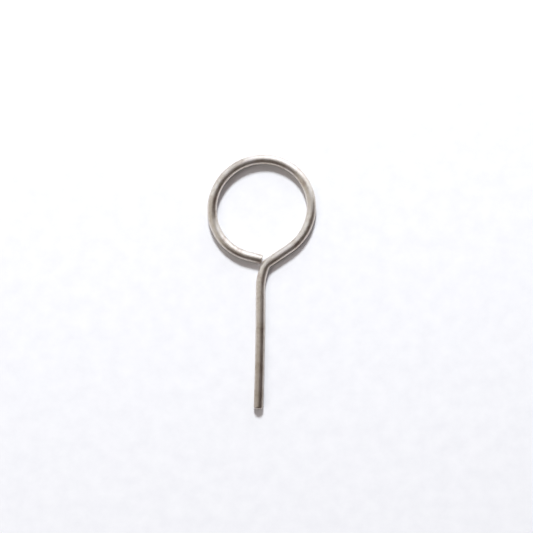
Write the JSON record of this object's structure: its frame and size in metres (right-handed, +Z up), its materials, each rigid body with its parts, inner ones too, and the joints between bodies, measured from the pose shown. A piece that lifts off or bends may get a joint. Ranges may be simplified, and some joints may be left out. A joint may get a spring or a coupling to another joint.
{
  "type": "inoculating loop",
  "caption": "Round metal wire bent into a flat, slightly oval ring whose cut end butts against the neck, with a straight stem ending in a square-cut tip with rounded corners.",
  "frame": {"origin": "middle of the bounding box, on the surface that the wire lies on", "axes": "+Y along the stem from the tip towards the ring, +Z up from the surface that the wire lies on"},
  "size_m": [0.0116, 0.027, 0.001],
  "materials": {
    "drawn_wire": "bright drawn"
  },
  "bodies": {
    "root": {"loop_wire": "drawn_wire"}
  },
  "joints": []
}
